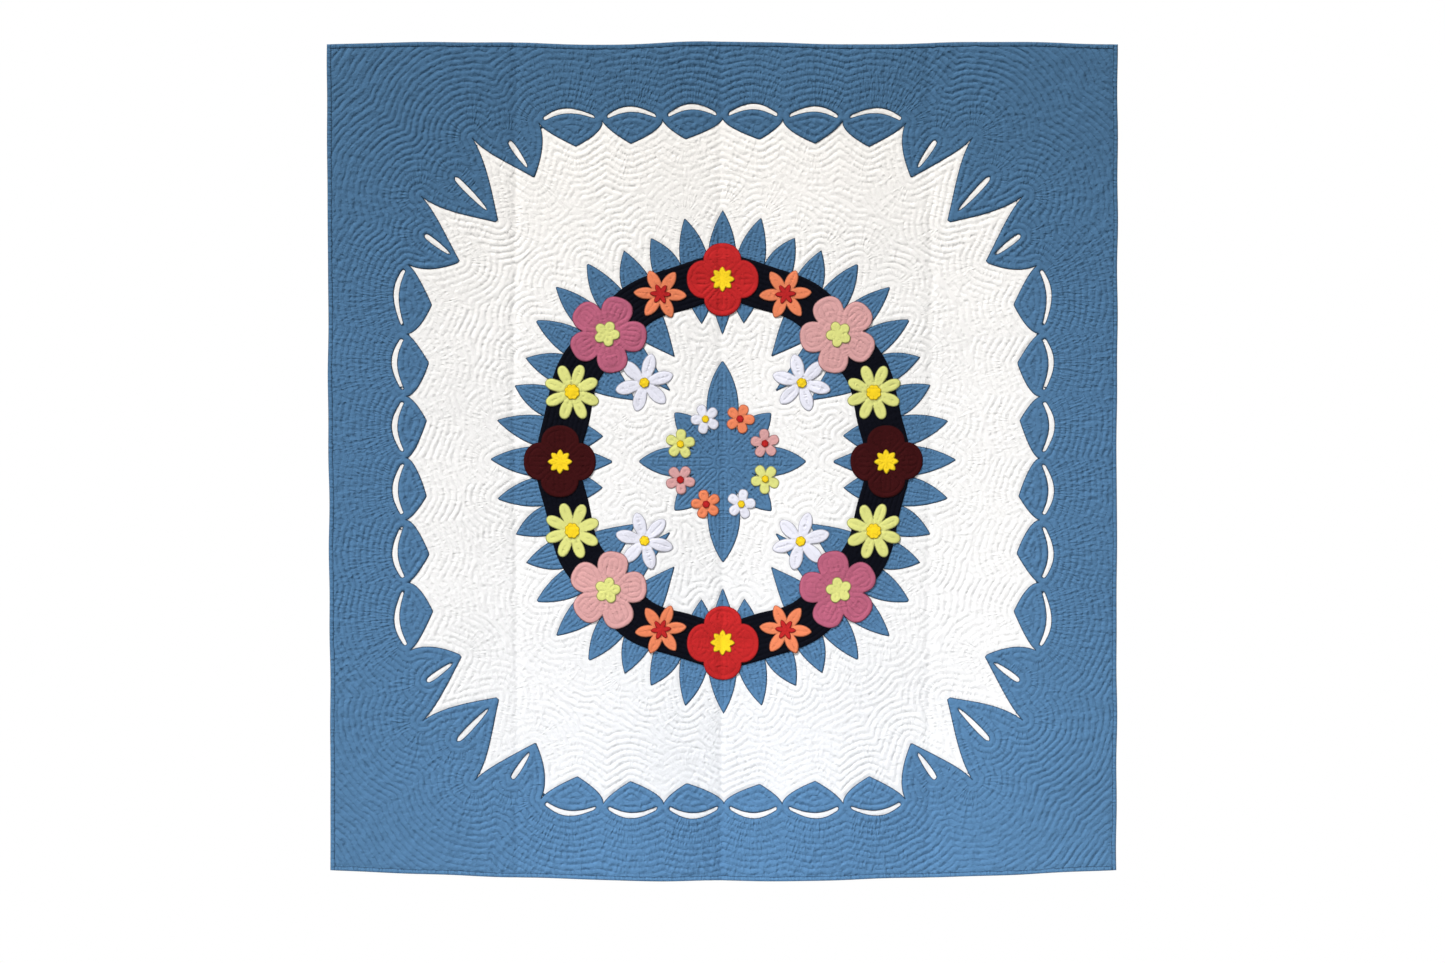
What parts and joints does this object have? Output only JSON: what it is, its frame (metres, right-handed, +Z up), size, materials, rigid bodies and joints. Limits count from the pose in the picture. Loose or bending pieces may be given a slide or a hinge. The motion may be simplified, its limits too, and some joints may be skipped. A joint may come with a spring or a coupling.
{
  "type": "quilted wall hanging",
  "caption": "Large quilted and appliqued cloth panel with a floral wreath, a cut leaf border and a bound edge, hung by its top edge.",
  "frame": {"origin": "middle of the top edge, at the middle of the cloth's thickness", "axes": "+Z up along the height, the front faces -Y, +X to the viewer's right"},
  "size_m": [1.9304, 0.0271, 2.048],
  "materials": {
    "white_cotton": "matte quilted cotton",
    "blue_cotton": "matte quilted cotton",
    "navy_cotton": "matte cotton",
    "pink": "matte cotton",
    "mauve": "matte cotton",
    "orange": "matte cotton",
    "lime": "matte cotton",
    "white": "matte cotton",
    "red": "matte cotton",
    "maroon": "matte cotton",
    "yellow": "matte cotton"
  },
  "bodies": {
    "root": {"quilted_panel": "white_cotton", "cut_frame": "blue_cotton", "wreath_band": "navy_cotton", "rosette": "blue_cotton", "binding_left": "blue_cotton", "binding_right": "blue_cotton", "binding_top": "blue_cotton", "binding_bottom": "blue_cotton", "leaves_out_1": "blue_cotton", "leaves_out_2": "blue_cotton", "leaves_out_3": "blue_cotton", "leaves_out_4": "blue_cotton", "leaves_out_5": "blue_cotton", "leaves_out_6": "blue_cotton", "leaves_out_7": "blue_cotton", "leaves_out_8": "blue_cotton", "leaves_in_1": "blue_cotton", "leaves_in_2": "blue_cotton", "leaves_in_3": "blue_cotton", "leaves_in_4": "blue_cotton", "leaves_bud_1": "blue_cotton", "leaves_bud_2": "blue_cotton", "leaves_bud_3": "blue_cotton", "leaves_bud_4": "blue_cotton", "pink_rose_1": "pink", "pink_rose_2": "pink", "pink_rose_eye_1": "lime", "pink_rose_eye_2": "lime", "mauve_rose_1": "mauve", "mauve_rose_2": "mauve", "mauve_rose_eye_1": "lime", "mauve_rose_eye_2": "lime", "red_poppy_1": "red", "red_poppy_2": "red", "red_poppy_eye_1": "yellow", "red_poppy_eye_2": "yellow", "maroon_poppy_1": "maroon", "maroon_poppy_2": "maroon", "maroon_poppy_eye_1": "yellow", "maroon_poppy_eye_2": "yellow", "orange_lily_1": "orange", "orange_lily_2": "orange", "orange_lily_3": "orange", "orange_lily_4": "orange", "lime_daisy_1": "lime", "lime_daisy_2": "lime", "lime_daisy_3": "lime", "lime_daisy_4": "lime", "white_jasmine_1": "white", "white_jasmine_2": "white", "white_jasmine_3": "white", "white_jasmine_4": "white", "pink_blossom_1": "pink", "pink_blossom_2": "pink", "orange_blossom_1": "orange", "orange_blossom_2": "orange", "white_blossom_1": "white", "white_blossom_2": "white", "lime_blossom_1": "lime", "lime_blossom_2": "lime"}
  },
  "joints": []
}
